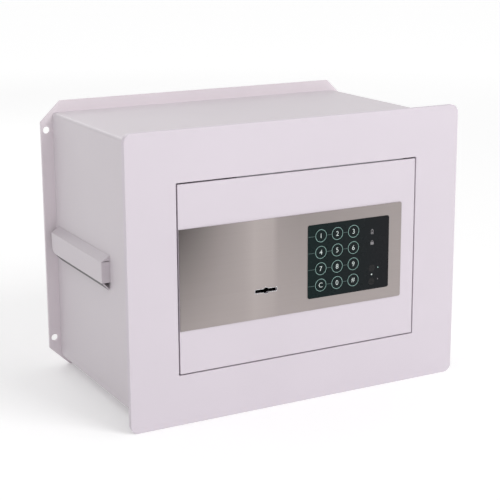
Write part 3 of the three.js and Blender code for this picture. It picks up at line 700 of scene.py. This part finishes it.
def dress(material, edge, *names):
    """A material for CAD nodes, and an edge radius in millimetres unless that is 0."""
    for name in names:
        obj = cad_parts[name]
        obj.data.materials.clear()
        obj.data.materials.append(material)
        if edge:
            weld = obj.modifiers.new("weld", "WELD")
            weld.merge_threshold = WELD_REACH
            soften(obj, edge, 2)


def dress_nodes():
    # the side anchors take the darker copy of the coat, a painted shade
    dress(WHITE_STRIP_SHADED, 0.5, "side_anchor_left", "side_anchor_right")
    dress(ZINC, 0.35, "hinge_bracket_upper", "hinge_bracket_lower", "hinge_knuckle_upper",
          "hinge_knuckle_lower", "door_stop_upper", "door_stop_lower", "bolt_keeper", "bolt_guide")
    dress(ZINC, 0, "lock_case", "lock_case_cover", "mechanism_bracket", "bolt_carriage")
    dress(BRIGHT, 0, "gear_motor", "door_push_spring")
    dress(BRIGHT, 0.2, *[f"cover_screw_{i}" for i in range(1, 5)])
    # the key rotor is painted near black, as the shade inside the keyhole
    dress(KEYHOLE_SHADE, 0, "key_rotor")
    dress(DARK_BRASS, 0, "motor_pinion")
    dress(FELT, 0.6, "floor_mat")
    dress(PLASTIC, 0.8, "inner_cover")
    dress(PLASTIC, 0.3, "battery_lid", "battery_holder")
    dress(PLASTIC, 0, "keypad_housing", "dome_sheet")
    dress(CIRCUIT, 0, "keypad_board", "control_board")
    dress(CABLE, 0, "ribbon_cable")


make_body()
make_door()
make_keypad()
make_bolts()
make_hinge_pins()
make_batteries()
dress_nodes()


# ---------------------------------------------------------------- studio
FLOOR_RADIUS = 30
FLOOR_WHITE = (0.86, 0.86, 0.86)
FLOOR_GLOW = 0.21
FAR_GLOW = 0.42                            # the floor's glow well away from the safe
GLOW_FROM, GLOW_TO = 0.7, 3                # metres from the safe where the floor's glow grows
SKY_GLOW = 0.70
SKY_LEAN = (0.20, 0, -0.10)                # how much more the sky glows per unit towards X, Y and Z
HORIZON_GLOW = 0.48                        # and how much more at the horizon
HORIZON = 0.03, 0.20                       # where that is full and where it ends, as the sine of the height
LIGHTS = [                                 # name, place, width, height, watts
    ("key_box", (0.7, -1.6, 1.6), 1.1, 0.9, 19.5),
    ("corner_box", (-0.6, -0.05, 0.9), 0.4, 0.4, 0.8),
    ("rim_box", (-0.2, 1.6, 1.15), 0.9, 0.5, 4.5),
]


def area_light(name, place, target, width, height, watts):
    light = bpy.data.lights.new(name, "AREA")
    light.shape = "RECTANGLE"
    light.size = width
    light.size_y = height
    light.energy = watts
    obj = scene_object(name, light)
    obj.location = place
    obj.rotation_mode = "QUATERNION"
    obj.rotation_quaternion = (Vector(target) - Vector(place)).to_track_quat("-Z", "Y")


def make_floor():
    """A white disc that glows more away from the safe, so that it meets the sky without an edge."""
    floor_mesh = bpy.data.meshes.new("floor")
    bm = bmesh.new()
    bmesh.ops.create_circle(bm, cap_ends=True, radius=FLOOR_RADIUS, segments=96)
    bm.to_mesh(floor_mesh)
    bm.free()
    floor = scene_object("floor", floor_mesh)
    shader = Shader("floor", FLOOR_WHITE, 0.9)
    shader.set("Emission Color", (1, 1, 1, 1))
    away = shader.nodes.new("ShaderNodeVectorMath")
    away.operation = "LENGTH"
    shader.links.new(shader.coords.outputs["Object"], away.inputs[0])
    glow = shader.spread(away.outputs["Value"], FLOOR_GLOW, FAR_GLOW, GLOW_FROM, GLOW_TO)
    shader.drive("Emission Strength", glow)
    floor_mesh.materials.append(shader.material)


def make_lights():
    middle = (cad_low + cad_high) / 2
    for name, place, width, height, watts in LIGHTS:
        area_light(name, place, middle, width, height, watts)


def make_sky():
    """A white sky, a little brighter on one side and round the horizon."""
    world = bpy.data.worlds.new("studio")
    bpy.context.scene.world = world
    world.use_nodes = True
    nodes, links = world.node_tree.nodes, world.node_tree.links
    nodes["Background"].inputs["Color"].default_value = (1, 1, 1, 1)
    toward = nodes.new("ShaderNodeTexCoord")
    lean = nodes.new("ShaderNodeVectorMath")
    lean.operation = "DOT_PRODUCT"
    lean.inputs[1].default_value = SKY_LEAN
    split = nodes.new("ShaderNodeSeparateXYZ")
    band = nodes.new("ShaderNodeMapRange")
    reach = {"From Min": HORIZON[0], "From Max": HORIZON[1],
             "To Min": SKY_GLOW + HORIZON_GLOW, "To Max": SKY_GLOW}
    for socket, number in reach.items():
        band.inputs[socket].default_value = number
    glow = nodes.new("ShaderNodeMath")
    for socket in (lean.inputs[0], split.inputs["Vector"]):
        links.new(toward.outputs["Generated"], socket)
    links.new(split.outputs["Z"], band.inputs["Value"])
    links.new(lean.outputs["Value"], glow.inputs[0])
    links.new(band.outputs["Result"], glow.inputs[1])
    links.new(glow.outputs["Value"], nodes["Background"].inputs["Strength"])
    bpy.context.scene.view_settings.view_transform = "Standard"


make_floor()
make_lights()
make_sky()
